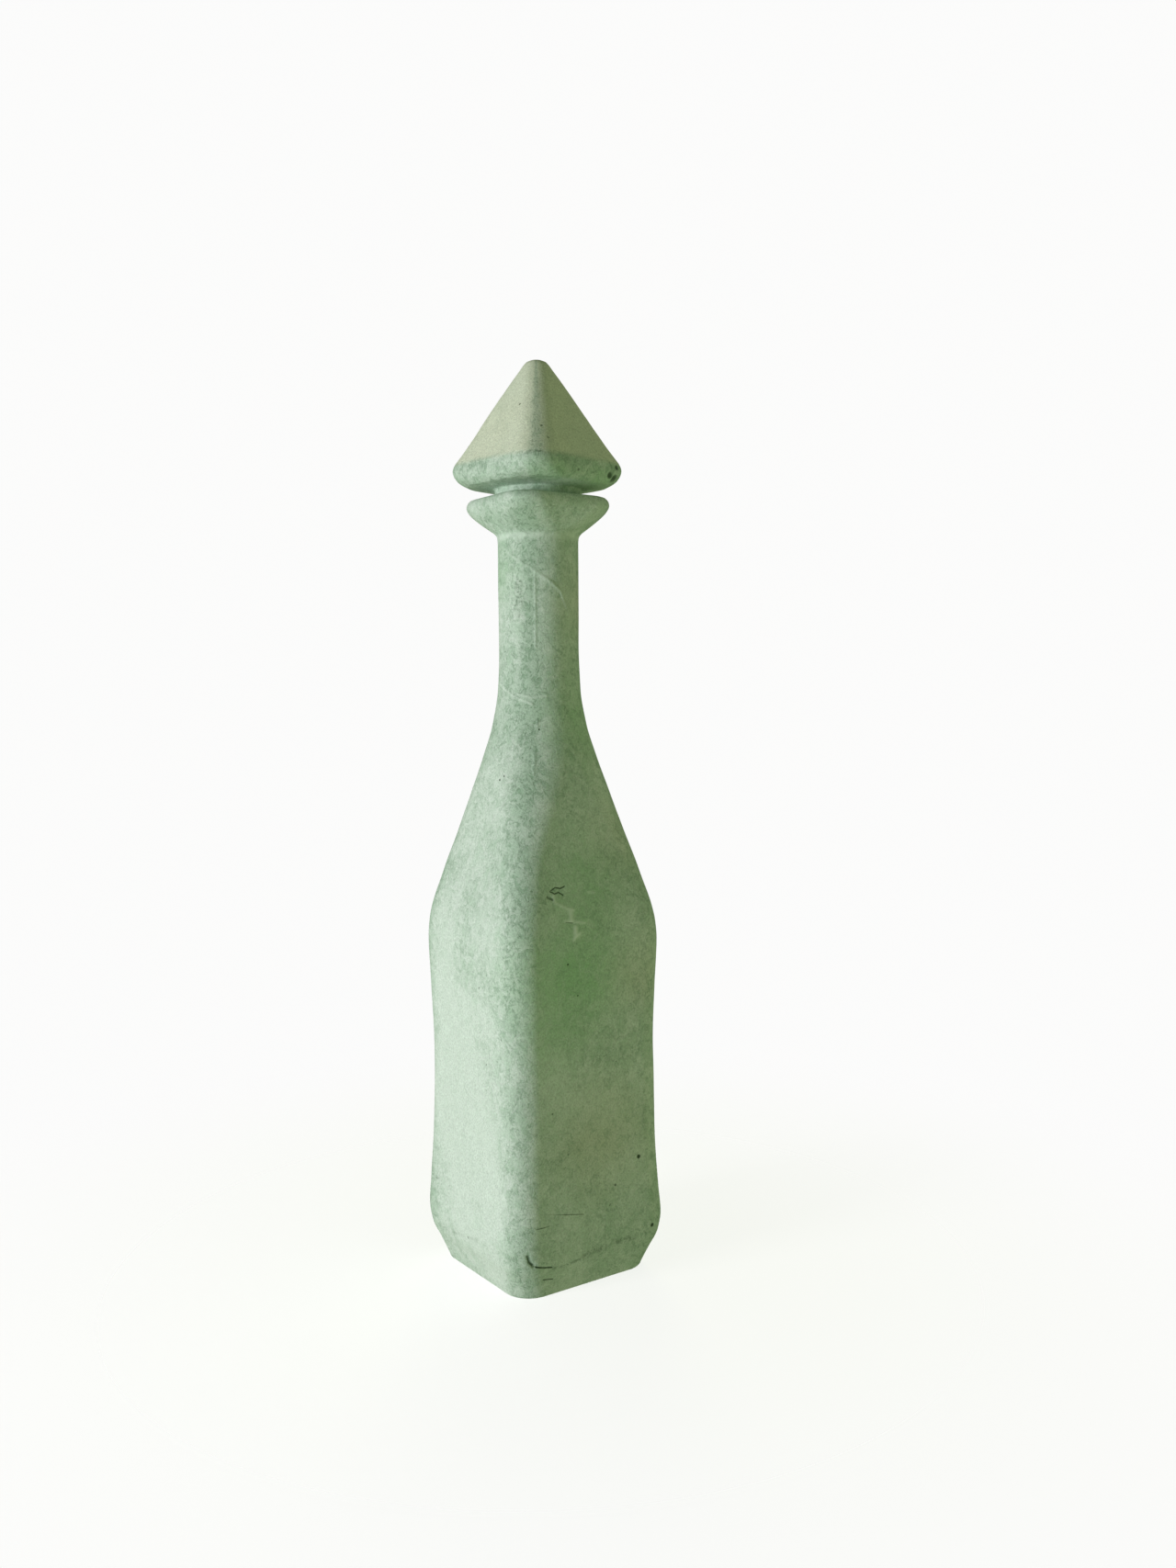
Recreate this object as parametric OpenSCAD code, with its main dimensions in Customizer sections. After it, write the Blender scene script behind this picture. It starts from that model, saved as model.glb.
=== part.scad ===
// Sake bottle: a square glass bottle with a pyramid stopper and the cork sleeve that seals it.
// Frame: +Z up, origin at the centre of the foot's resting plane, body faces square to X and Y.
// Millimetres.

/* [Body] */
// Width across the faces where the body swells above its foot
base_w = 71.4; // [64:0.2:78]
// Width across the faces at the waist of the body
waist_w = 67.8; // [60:0.2:70]
// Width across the faces at the shoulder
shoulder_w = 70.4; // [64:0.2:78]
// Width across the faces of the foot that it stands on
foot_w = 60.4; // [50:0.2:62]
// Radius of the body's upright corners
corner_r = 10.5; // [6:0.5:14]
// Thickness of the glass in the body
wall = 4; // [2.5:0.1:5]
// Thickness of the floor at its rim
floor_t = 7; // [5:0.5:12]
// Depth of the hollow pressed up under the foot
punt_depth = 3; // [1:0.5:3.5]
// Width of the hollow pressed up under the foot
punt_d = 40; // [24:1:44]

/* [Heights] */
// Height of the swell above the foot
base_z = 21; // [18:0.5:24]
// Height of the shoulder's widest point
shoulder_z = 129; // [110:1:145]
// Height where the taper has become the straight neck
neck_z = 240; // [225:1:255]
// Height of the root of the collar
collar_z = 283; // [275:0.5:290]
// Height of the collar's flat top
mouth_z = 297.3; // [294:0.1:302]

/* [Neck and collar] */
// Outer diameter of the neck
neck_d = 31.2; // [29:0.1:34]
// Width across the collar's faces
collar_w = 46.2; // [38:0.2:52]
// Diameter of the bore that the stopper's seal slides in
bore_d = 21.1; // [19:0.1:22]
// Length of that bore, from the mouth down
bore_l = 35; // [30:1:38]

/* [Stopper] */
// Width across the faces of the pyramid's skirt
head_w = 52; // [44:0.5:60]
// Height of the head, from its underside to its tip
head_h = 49; // [40:0.5:60]
// Angle that the stopper stands turned from the body
head_turn = 11; // [0:1:45]
// Diameter of the ring that rests on the collar
ring_d = 32.8; // [28:0.2:36]
// Height of that ring
ring_h = 3.7; // [3:0.1:6]
// Diameter of the peg inside the cork sleeve
peg_d = 16.8; // [14:0.1:17.5]
// Diameter of the hollow that runs up the peg
channel_d = 8; // [5:0.5:9]
// Length of the peg below the ring
peg_l = 27; // [24:0.5:28]

/* [Cork sleeve] */
// Length of the sleeve
sleeve_l = 20; // [16:0.5:20]
// Radial clearance between the sleeve and the bore, and between the sleeve and the peg
running_gap = 0.05; // [0.02:0.01:0.08]

/* [Smoothness] */
// Points along the rounding of each upright corner
corner_points = 9; // [5:2:13]

/* [Hidden] */

glass_colour = [0.72, 0.82, 0.72];
cork_colour = [0.72, 0.55, 0.38];

neck_r = neck_d / 2;
bore_r = bore_d / 2;
foot_edge = 0.8;      // rounding of the foot's lower edge
neck_wall = 5.4;      // glass in the neck, below the bore
taper_l = neck_z - shoulder_z;
taper_drop = shoulder_w / 2 - neck_r;
lip_chamfer = 0.8;    // at the mouth of the bore
seat_gap = 0.05;      // between the collar's top and the ring
over = 1;             // how far a cut runs past the face that it opens
fine = 96;            // facets drawn on a true round

ring_z = mouth_z + seat_gap;
head_z = ring_z + ring_h;
tip_z = head_z + head_h;
peg_end_z = ring_z - peg_l;
bead_h = 2.4;         // bead at the end of the peg that keeps the sleeve on
bead_r = peg_d / 2 + 1;
sleeve_z = peg_end_z + bead_h + seat_gap;
sleeve_end_z = sleeve_z + sleeve_l;
sleeve_chamfer = 0.7;
head_wall = 4.5;

// Stations of the bottle's outer surface: height, half width across the faces, corner radius.
// Where the two widths are equal the section is round.
outer_stations = [
    [0, foot_w / 2 - foot_edge, corner_r - foot_edge],
    [foot_edge, foot_w / 2 - 0.15, corner_r],
    [base_z * 0.38, base_w / 2 - 3, corner_r],
    [base_z * 0.67, base_w / 2 - 0.8, corner_r],
    [base_z, base_w / 2, corner_r],
    [base_z * 1.5, mix(base_w, waist_w, 0.35) / 2, corner_r],
    [base_z * 2.4, mix(base_w, waist_w, 0.82) / 2, corner_r],
    [mix(base_z, shoulder_z, 0.6), waist_w / 2, corner_r],
    [mix(base_z, shoulder_z, 0.83), mix(waist_w, shoulder_w, 0.52) / 2, corner_r],
    [shoulder_z, shoulder_w / 2, corner_r],
    [shoulder_z + 6, shoulder_w / 2 - 0.35, corner_r],
    taper_station(0.10, 0.056, 0),
    taper_station(0.24, 0.25, 0),
    taper_station(0.37, 0.421, 0.14),
    taper_station(0.505, 0.565, 0.48),
    taper_station(0.64, 0.726, 0.88),
    taper_station(0.74, 0.87, 1),
    taper_station(0.86, 0.978, 1),
    [neck_z, neck_r, neck_r],
    [collar_z, neck_r, neck_r],
    collar_station(0.05, 0.03),
    collar_station(0.13, 0.153),
    collar_station(0.40, 0.599),
    collar_station(0.63, 0.903),
    collar_station(0.79, 1),
    collar_station(0.92, 0.93),
    collar_station(1, 0.77),
];

// Stations of the inner surface, from the mouth down to the floor. It follows the outside, less
// the glass. The first ones stay inside the bore, which is cut truly round afterwards.
inner_r = neck_r - neck_wall;
inner_half = waist_w / 2 - wall;
inner_stations = [
    [mouth_z, inner_r, inner_r],
    [mouth_z - bore_l - over, inner_r, inner_r],
    [neck_z, inner_r, inner_r],
    hollowed(taper_station(0.86, 0.973, 1), neck_wall),
    hollowed(taper_station(0.74, 0.87, 1), wall),
    hollowed(taper_station(0.64, 0.726, 0.88), wall),
    hollowed(taper_station(0.505, 0.565, 0.48), wall),
    hollowed(taper_station(0.24, 0.25, 0), wall),
    [shoulder_z + 3, shoulder_w / 2 - wall, corner_r - wall],
    [mix(base_z, shoulder_z, 0.83), mix(waist_w, shoulder_w, 0.52) / 2 - wall, corner_r - wall],
    [mix(base_z, shoulder_z, 0.5), inner_half, corner_r - wall],
    [base_z * 1.2, inner_half + 0.4, corner_r - wall],
    [floor_t + 6, inner_half - 0.6, corner_r - wall],
    [floor_t + 2, inner_half - 3, corner_r - wall],
    [floor_t, inner_half - 7, corner_r - wall],
];

// Stations of the stopper's head: height, half width across the faces, corner radius.
skirt_z = head_z + head_h * 0.145;
skirt_l = skirt_z - head_z;
half_head = head_w / 2;
tip_r = 6;          // half width where the tip starts to round off
head_stations = [
    [head_z - 2, ring_d / 2 - 4.4, ring_d / 2 - 4.4],
    [head_z - 0.3, ring_d / 2 + 0.7, ring_d / 2 + 0.7],
    [head_z + skirt_l * 0.16, half_head * 0.892, corner_r + 4],
    [head_z + skirt_l * 0.45, half_head * 0.972, corner_r + 2],
    [head_z + skirt_l * 0.75, half_head * 0.995, corner_r + 0.5],
    [skirt_z, half_head, corner_r],
    [skirt_z + 1.7, half_head - 0.35, corner_r],
    [skirt_z + 3, half_head - 1.05, corner_r],
    [mix(skirt_z + 3, tip_z - 4, 0.5), mix(half_head - 1.05, tip_r, 0.5), corner_r - 2.6],
    [tip_z - 4, tip_r, tip_r - 0.3],
    [tip_z - 2.2, tip_r * 0.82, tip_r * 0.82],
    [tip_z - 1, tip_r * 0.63, tip_r * 0.63],
    [tip_z - 0.3, tip_r * 0.36, tip_r * 0.36],
    [tip_z, tip_r * 0.08, tip_r * 0.08],
];
head_hollow_stations = [
    [head_z + 1.5, channel_d / 2 - 2.5, channel_d / 2 - 2.5],
    [head_z + 4.5, half_head * 0.55, corner_r - 1],
    [skirt_z + 1, half_head - head_wall - 1.5, corner_r - head_wall],
    [tip_z - 11, tip_r * 0.62, tip_r * 0.55],
    [tip_z - 9, tip_r * 0.2, tip_r * 0.2],
];

function mix(a, b, share) = a + (b - a) * share;

// A station part of the way up the taper, with the corners part of the way to round.
function taper_station(up, in, roundness) = let (
    half = shoulder_w / 2 - in * taper_drop,
    radius = mix(corner_r, half, roundness)
) [shoulder_z + up * taper_l, half, radius];

// A station part of the way up the collar, with its width part of the way out.
function collar_station(up, out) = let (
    half = mix(neck_r, collar_w / 2, out),
    radius = mix(neck_r, corner_r, up)
) [mix(collar_z, mouth_z, up), half, radius];

function hollowed(s, by) = [s[0], s[1] - by, s[2] - by];

// Monotone curve through the stations, so that nothing overshoots between them.
function slope(t, k, i) = (t[i + 1][k] - t[i][k]) / (t[i + 1][0] - t[i][0]);
function tangent(t, k, i) =
    i == 0 ? slope(t, k, 0)
    : i == len(t) - 1 ? slope(t, k, i - 1)
    : slope(t, k, i - 1) * slope(t, k, i) <= 0 ? 0
    : 2 / (1 / slope(t, k, i - 1) + 1 / slope(t, k, i));
function between(t, k, i, u) = let (h = t[i + 1][0] - t[i][0])
    (1 + 2 * u) * pow(1 - u, 2) * t[i][k]
    + u * pow(1 - u, 2) * h * tangent(t, k, i)
    + u * u * (3 - 2 * u) * t[i + 1][k]
    + u * u * (u - 1) * h * tangent(t, k, i + 1);
function smoothed(t) = concat(
    [
        for (i = [0 : len(t) - 2]) for (u = [0, 0.5])
            [mix(t[i][0], t[i + 1][0], u), between(t, 1, i, u), between(t, 2, i, u)]
    ],
    [t[len(t) - 1]]
);

// Rounded square at a station. Its points are spaced evenly round the four corners' arcs, half a
// step short of each flat, so that a round section comes out as evenly spaced points too.
function outline(station) = let (c = station[1] - station[2]) [
    for (corner = [0 : 3]) for (k = [0 : corner_points - 1])
        let (way = 90 * (corner + (k + 0.5) / corner_points), diagonal = 90 * corner + 45)
            [
                sign(cos(diagonal)) * c + station[2] * cos(way),
                sign(sin(diagonal)) * c + station[2] * sin(way),
                station[0],
            ]
];

// Closed skin through the outlines at a list of levels, with a flat end at the first and last.
module loft(levels) {
    n = 4 * corner_points;
    last = (len(levels) - 1) * n;
    polyhedron(
        points = [for (level = levels) each outline(level)],
        faces = concat(
            [[for (i = [0 : n - 1]) i]],
            [[for (i = [0 : n - 1]) last + n - 1 - i]],
            [
                for (j = [0 : len(levels) - 2]) for (i = [0 : n - 1])
                    let (a = j * n + i, b = j * n + (i + 1) % n) each [[a, a + n, b], [b, a + n, b + n]]
            ]
        ),
        convexity = 6
    );
}

module punt() {
    ball_r = (pow(punt_d / 2, 2) + pow(punt_depth, 2)) / (2 * punt_depth);
    translate([0, 0, punt_depth - ball_r]) sphere(r = ball_r, $fn = fine);
}

module bore() {
    bore_end = mouth_z - bore_l;
    rotate_extrude($fn = fine) polygon([
        [0, bore_end],
        [bore_r, bore_end],
        [bore_r, mouth_z - lip_chamfer],
        [bore_r + lip_chamfer + over, mouth_z + over],
        [0, mouth_z + over],
    ]);
}

module bottle() {
    color(glass_colour) difference() {
        loft(concat(smoothed(outer_stations), inner_stations));
        bore();
        punt();
    }
}

module peg() {
    peg_r = peg_d / 2;
    stop_r = bore_r - 0.9;
    rotate_extrude($fn = fine) polygon([
        [0, peg_end_z],
        [bead_r - 0.8, peg_end_z],
        [bead_r, peg_end_z + 0.8],
        [bead_r, peg_end_z + bead_h - 0.4],
        [bead_r - 0.4, peg_end_z + bead_h],
        [peg_r, peg_end_z + bead_h],
        [peg_r, sleeve_end_z + seat_gap],
        [stop_r, sleeve_end_z + seat_gap],
        [stop_r, ring_z],
        [ring_d / 2 - 0.6, ring_z],
        [ring_d / 2, ring_z + 0.6],
        [ring_d / 2, head_z + 0.4],
        [0, head_z + 0.4],
    ]);
}

module stopper() {
    color(glass_colour) rotate([0, 0, head_turn]) difference() {
        union() {
            loft(smoothed(head_stations));
            peg();
        }
        loft(head_hollow_stations);
        translate([0, 0, peg_end_z - over])
            cylinder(d = channel_d, h = head_z - peg_end_z + over + 3, $fn = fine);
    }
}

module cork_sleeve() {
    inside = peg_d / 2 + running_gap;
    outside = bore_r - running_gap;
    color(cork_colour) rotate_extrude($fn = fine) polygon([
        [inside, sleeve_z],
        [outside - sleeve_chamfer, sleeve_z],
        [outside, sleeve_z + sleeve_chamfer * 2],
        [outside, sleeve_end_z - sleeve_chamfer],
        [outside - sleeve_chamfer, sleeve_end_z],
        [inside, sleeve_end_z],
    ]);
}

bottle();
stopper();
cork_sleeve();
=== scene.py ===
"""A square sake bottle of pale green glass with a chalky etched skin, its pyramid stopper and the
cork sleeve that seals it. Each piece is meshed at full detail and stands for its CAD node. Lengths
are in millimetres while a piece is worked out, and become metres when its mesh is made."""

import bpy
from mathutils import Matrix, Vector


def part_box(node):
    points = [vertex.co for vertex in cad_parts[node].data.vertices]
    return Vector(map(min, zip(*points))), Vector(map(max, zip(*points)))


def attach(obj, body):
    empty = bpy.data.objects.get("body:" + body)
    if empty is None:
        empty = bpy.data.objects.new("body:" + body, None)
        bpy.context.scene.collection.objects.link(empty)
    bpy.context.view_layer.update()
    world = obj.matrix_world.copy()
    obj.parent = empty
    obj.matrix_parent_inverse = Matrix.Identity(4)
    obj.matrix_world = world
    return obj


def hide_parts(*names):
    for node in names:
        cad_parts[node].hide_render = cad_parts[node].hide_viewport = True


bl_info = {
    "name": "Sake Bottle",
    "version": (1, 0, 0),
    "blender": (4, 5, 0),
    "location": "View3D > Sidebar > Sake Bottle",
    "description": "Builds a square etched glass sake bottle with its stopper and cork sleeve",
    "category": "Object",
}

from collections import namedtuple
from functools import partial, reduce
from math import cos, pi, radians, sin, tau

import bmesh
import bpy
import numpy as np
from mathutils import Matrix, Vector

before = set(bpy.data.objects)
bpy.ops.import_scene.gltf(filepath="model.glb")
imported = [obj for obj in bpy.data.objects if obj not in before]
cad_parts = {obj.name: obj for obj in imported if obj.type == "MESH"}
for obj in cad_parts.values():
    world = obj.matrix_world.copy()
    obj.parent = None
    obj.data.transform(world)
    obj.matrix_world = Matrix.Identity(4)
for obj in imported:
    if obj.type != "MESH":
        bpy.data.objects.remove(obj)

MM = 0.001
BOTTLE_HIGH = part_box("bottle")[1]
STOPPER_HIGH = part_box("stopper")[1]
SLEEVE_LOW, SLEEVE_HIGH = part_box("cork_sleeve")


# ---------------- sizes and colours


def amount(unit, name, description, default):
    return bpy.props.FloatProperty(
        name=name, description=description, default=default, min=0, unit=unit, precision=4
    )


length = partial(amount, "LENGTH")
power = partial(amount, "POWER")


def colour(name, description, default):
    return bpy.props.FloatVectorProperty(
        name=name, description=description, default=default, min=0, max=1, subtype="COLOR"
    )


def angle(name, description, default):
    return bpy.props.FloatProperty(
        name=name, description=description, default=default, subtype="ANGLE"
    )


class BottleSizes(bpy.types.PropertyGroup):
    """Sizes of the bottle."""

    swell_width: length("Swell", "Width across the faces above the foot", 2 * BOTTLE_HIGH.x)
    waist_width: length("Waist", "Width across the faces at the waist", 0.0678)
    shoulder_width: length("Shoulder", "Width across the faces at the shoulder", 0.0704)
    foot_width: length("Foot", "Width across the faces of the foot", 0.0604)
    corner_radius: length("Corner", "Radius of the upright corners", 0.0105)
    glass: length("Glass", "Thickness of the glass in the body", 0.004)
    punt_width: length("Punt width", "Width of the hollow under the foot", 0.040)
    punt_depth: length("Punt depth", "Depth of the hollow under the foot", 0.003)
    neck_width: length("Neck", "Outer diameter of the neck", 0.0312)
    collar_width: length("Collar", "Width across the collar's faces", 0.0462)
    collar_height: length("Collar height", "Height of the collar's root above the foot", 0.283)
    mouth_height: length("Mouth", "Height of the collar's flat top", BOTTLE_HIGH.z)
    bore_width: length("Bore", "Diameter of the bore that the seal slides in", 0.0211)
    bore_length: length("Bore length", "Length of that bore", 0.035)


class StopperSizes(bpy.types.PropertyGroup):
    """Sizes of the stopper."""

    head_width: length("Head", "Width across the faces of the pyramid's skirt", 0.052)
    head_height: length("Head height", "Height of the head from its underside to its tip", 0.049)
    ring_width: length("Ring", "Diameter of the ring that rests on the collar", 0.0328)
    ring_height: length("Ring height", "Height of that ring", 0.0037)
    peg_width: length("Peg", "Diameter of the peg inside the cork sleeve", 0.0168)
    peg_length: length("Peg length", "Length of the peg below the ring", 0.027)
    channel_width: length("Channel", "Diameter of the hollow that runs up the peg", 0.008)
    tip_height: length("Tip", "Height of the tip above the foot", STOPPER_HIGH.z)
    turn: angle("Turn", "Angle that the stopper stands turned from the body", radians(11))


class SleeveSizes(bpy.types.PropertyGroup):
    """Sizes of the cork sleeve."""

    outer_width: length("Outside", "Outer diameter of the sleeve", 2 * SLEEVE_HIGH.x)
    inner_width: length("Inside", "Inner diameter of the sleeve", 0.0169)
    bottom: length("Bottom", "Height of the sleeve's lower end", SLEEVE_LOW.z)
    top: length("Top", "Height of the sleeve's upper end", SLEEVE_HIGH.z)


class Finishes(bpy.types.PropertyGroup):
    """Colours of the glass and the cork."""

    chalk: colour("Chalk", "Etched skin where it is thickest", (0.645, 0.75, 0.665))
    green: colour("Green", "Etched skin where it is rubbed", (0.42, 0.56, 0.44))
    thin: colour("Thin", "Flecks where the skin is worn through", (0.23, 0.39, 0.25))
    # Partly the glass's green showing through, partly painted green reflected light on the shaded
    # faces.
    leaf_and_reflection: colour("Leaf", "Glass colour showing through the skin", (0.30, 0.55, 0.29))
    # Partly the skin's warm cast, partly painted warm reflected light on the shaded side.
    olive_and_reflection: colour("Olive", "Skin with a dry, warm cast", (0.58, 0.61, 0.49))
    beige: colour("Beige", "Dry skin on the pyramid's faces", (0.78, 0.83, 0.66))
    # Besides real dirt, this colour paints the shade under the neck's ripples and darkens the line
    # along the stopper's crease.
    dirt_and_shade: colour("Dirt", "What has settled in pits and folds", (0.035, 0.075, 0.03))
    cork: colour("Cork", "Face of the cork", (0.46, 0.27, 0.13))
    cork_dark: colour("Cork pores", "Pores and grain of the cork", (0.13, 0.06, 0.025))


class StageLook(bpy.types.PropertyGroup):
    """Floor, light and camera."""

    floor: colour("Floor", "Colour of the floor", (0.93, 0.93, 0.92))
    key_colour: colour("Key colour", "Colour of the main light", (0.95, 0.925, 0.98))
    fill_colour: colour("Fill colour", "Colour of the two weaker lights", (0.95, 1.0, 0.52))
    key_power: power("Key", "Power of the main light, at the left", 7.65)
    fill_power: power("Fill", "Power of the dim light, at the right", 0.40)
    back_power: power("Back", "Power of the light behind", 2.2)
    azimuth: angle("Azimuth", "Bearing that the bottle is seen from", radians(-33.3))
    distance: length("Distance", "Camera's distance from the bottle's axis", 0.5142)
    height: length("Height", "Camera's height above the floor", 0.2174)
    pan: angle("Pan", "Camera turned to the left of the axis", radians(-2.07))
    pitch: angle("Pitch", "Camera tipped down", radians(3.28))
    roll: angle("Roll", "Camera leaning", radians(-0.435))
    lens: amount("CAMERA", "Lens", "Focal length on a 36 mm sensor", 30.37)


# ---------------- marks in the glass

# A mark has its width and height in millimetres, sunk where the height is negative, and its shade,
# dark above 0 and pale below. The mesh is raised or sunk along every mark. The finish darkens a
# fine mark, because the mesh's points are too far apart to hold its shade, and a fine mark lies on
# a flat face. Its course is a list of bearings in degrees about the axis, each with a height in
# millimetres.
Mark = namedtuple("Mark", "width height shade fine course")

BOTTLE_MARKS = [
    # pale fold round the top of the neck
    (1.25, 0.05, -0.50, False, [(0, 282.3), (360, 282.3)]),
    # fold across the front of the neck
    (0.42, 0.32, -0.22, False, [
        (175, 279), (208, 273), (231, 269), (256, 264.5), (269, 261.5), (285, 253),
    ]),
    # mould seam down the front corner
    (0.32, 0.16, -0.20, False, [(232, 268), (232, 240)]),
    (0.30, 0.12, 0.35, False, [(235, 213.8), (234, 210.3)]),
    (0.30, 0.16, 0.15, False, [(232, 201.5), (231, 193)]),
    # thin lines low on the neck
    (0.40, 0.24, -0.60, False, [(168, 227), (201, 222), (227, 219)]),
    (0.40, 0.22, -0.55, False, [(204, 223), (226, 221.5), (246, 222)]),
    # scar on the broad face: a fold, then a chip with a raised rim, and its pale crackled tail
    (0.30, -0.20, 0.85, True, [(251.9, 152.2), (248.6, 151.6), (245.2, 152.1), (241.9, 150.9)]),
    (0.34, -0.20, 0.80, True, [(241.9, 150.9), (244.2, 149.9), (247.4, 150.3), (250.3, 149.2)]),
    (0.55, -0.25, 0.60, True, [(240.1, 148.9), (242.9, 147.9)]),
    (0.50, 0.22, -0.80, False, [
        (243.4, 149.3), (243.5, 147.6), (245, 146.5), (252.5, 144.2), (256.8, 143.4),
    ]),
    (1.00, 0.12, -0.90, False, [(254.6, 142.6), (254.8, 140.4)]),
    (0.22, -0.12, 0.75, True, [(250.6, 139.4), (255.4, 138.9)]),
    (0.45, 0.16, -0.80, False, [(249.8, 139.9), (255.7, 139.3), (264, 138.4)]),
    (1.00, 0.18, -0.95, False, [(257.2, 137.0), (256.7, 135.0)]),
    (0.60, 0.14, -0.80, False, [(255.1, 132.7), (257, 133.7), (259.8, 134.8)]),
    (0.50, 0.10, -0.60, False, [(269.5, 149.2), (274.4, 148.9)]),
    # scratches low on the broad face
    (0.30, -0.06, 0.72, True, [(234.7, 33.6), (247.8, 31.3), (261, 29.5)]),
    (0.28, -0.05, 0.60, True, [(232.7, 28.6), (240.2, 28.5)]),
    # hooked lap near the foot, and the shorter one under it
    (0.72, -0.45, 1.0, True, [(229, 19.1), (229.4, 16.9), (231.4, 14.9)]),
    (0.38, -0.30, 1.0, True, [(231.4, 14.9), (235.8, 13.6), (240.2, 12.6)]),
    (0.28, -0.25, 0.85, True, [(235.7, 8.0), (241, 7.1)]),
    # broken line that the mould left round the foot
    (0.50, -0.12, 0.32, False, [(241.4, 12.0), (250, 11.9), (259.2, 12.6)]),
    (1.20, -0.10, 0.34, False, [(262, 13.6), (267, 14.4), (278, 14.3)]),
    (1.10, -0.14, 0.42, False, [(284, 14.9), (290.1, 15.6), (297.5, 15.4)]),
    (0.70, -0.06, 0.16, False, [(147.6, 14.2), (159.6, 14.3), (174.4, 16.3)]),
    (0.90, -0.06, 0.14, False, [(181.5, 16.4), (192.3, 17.8)]),
    # small curl on the narrow face
    (0.35, -0.12, 0.45, False, [(143, 34.4), (145, 33.0), (147.5, 32.8), (149.5, 33.6)]),
]
# Pits: width in millimetres, shade, bearing in degrees and height in millimetres.
BOTTLE_PITS = [
    (0.28, 0.6, 235.6, 231.6), (0.34, 0.9, 236.2, 209.6), (0.45, 0.8, 197.2, 190.8),
    (0.40, 0.7, 202.4, 192.3), (0.28, 0.6, 227.4, 202.8), (0.45, 0.8, 251.5, 124.0),
    (0.40, 0.7, 258.5, 111.8), (0.40, 0.6, 241.9, 69.4), (0.80, 1.0, 300.7, 45.8),
    (0.55, 0.7, 285.3, 37.2), (0.85, 1.0, 306.9, 18.1), (0.60, 0.5, 181.7, 16.8),
    (0.50, 0.6, 60.0, 96.0), (0.60, 0.7, 118.0, 54.0), (0.45, 0.6, 20.0, 150.0),
]
# Ripples on the left of the neck: first bearing, how far round, and height. Each sinks as it goes.
# Each ripple is raised in the mesh and also drawn with painted shade, a dark line for its lower
# edge.
RIPPLES = [
    (205, 5, 265.4), (203, 9, 264.2), (202, 8, 262.7), (201, 10, 261.1), (201, 8, 259.5),
    (199, 13, 257.9), (200, 12, 256.3), (202, 6, 254.5), (203, 5, 252.6),
]
# The ripples as marks: raised, and darkened with painted shade.
BOTTLE_MARKS += [
    (0.42, 0.26, 0.42, False, [(b, z), (b + span, z - 0.35)]) for b, span, z in RIPPLES
]
BOTTLE_MARKS = [Mark(*row) for row in BOTTLE_MARKS]

STOPPER_PITS = [
    (0.40, 0.8, 213.5, 330.5), (0.50, 0.6, 240.5, 320.7),
    (0.60, 0.5, 245.0, 315.9), (0.55, 0.6, 273.0, 305.3),
]
# Chips in the stopper's skirt: width and depth in millimetres, bearing and height.
CHIPS = [(1.7, 0.9, 316, 304.2), (0.9, 0.6, 314, 308.6), (1.2, 0.7, 309, 305.2)]

# The etched skin. Ridge: from where to where across a face it is rubbed, 1 at the corner. Wear: how
# worn it is all over. Then patches, each a centre and a reach in millimetres and a strength: chalk
# where the skin is thick and pale, or thin below 0; leaf, partly where it shows the glass's green
# and partly painted green reflected light on the shaded faces; and olive, partly its dry, warm cast
# and partly painted warm reflected light on the shaded side.
BOTTLE_SKIN = {
    "ridge": (0.50, 0.95),
    "wear": 0.36,
    "chalk": [
        ((-35, 4, 92), 62, 0.9), ((-35, -6, 36), 44, 0.8), ((-4, 35, 70), 60, 0.7),
        ((-6, -4, 225), 48, -0.7), ((-6, -4, 285), 36, -0.9),
    ],
    "leaf_and_reflection": [
        ((-6, -35, 122), 36, 1.0), ((2, -34, 158), 28, 0.75), ((-14, -35, 96), 20, 0.35),
        ((11, -13, 215), 24, 0.55), ((-13, 8, 272), 18, 0.40), ((12, 32, 120), 34, 0.45),
    ],
    "olive_and_reflection": [
        ((8, -35, 60), 34, 0.75), ((26, -32, 120), 22, 0.55), ((15, -5, 262), 22, 0.65),
        ((36, 6, 70), 40, 0.45), ((22, -28, 175), 24, 0.45),
    ],
}
STOPPER_SKIN = {
    "ridge": (0.74, 1.0),
    "wear": 0.72,
    "chalk": [((0, 0, 298), 12, 0.5)],
    "leaf_and_reflection": [((18, -18, 305), 18, 0.6), ((-6, -24, 303), 16, 0.45)],
    "olive_and_reflection": [((-8, -20, 330), 26, 0.3)],
}


# ---------------- outlines and skins


NARROWEST_RELIEF = 0.5
SHARP_ANGLE = radians(50)


def mix(a, b, share):
    return a + (b - a) * share


def curve(stations, spacing):
    """Levels along a smooth curve through stations that run steadily up or down. They are about
    spacing apart."""
    t = np.array(stations, float)
    gap = np.diff(t[:, 0])
    slope = np.diff(t[:, 1:], axis=0) / gap[:, None]
    product = slope[:-1] * slope[1:]
    total = slope[:-1] + slope[1:]
    inner = np.where(product > 0, 2 * product / np.where(total == 0, 1, total), 0)
    tangent = np.vstack([slope[:1], inner, slope[-1:]])
    levels = []
    for i, h in enumerate(gap):
        run = np.hypot(h, t[i + 1, 1] - t[i, 1])
        steps = max(1, int(round(run / spacing)))
        for u in np.arange(steps) / steps:
            value = (
                (1 + 2 * u) * (1 - u) ** 2 * t[i, 1:]
                + u * (1 - u) ** 2 * h * tangent[i]
                + u * u * (3 - 2 * u) * t[i + 1, 1:]
                + u * u * (u - 1) * h * tangent[i + 1]
            )
            levels.append([t[i, 0] + u * h, *value])
    levels.append(list(t[-1]))
    return levels


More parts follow.
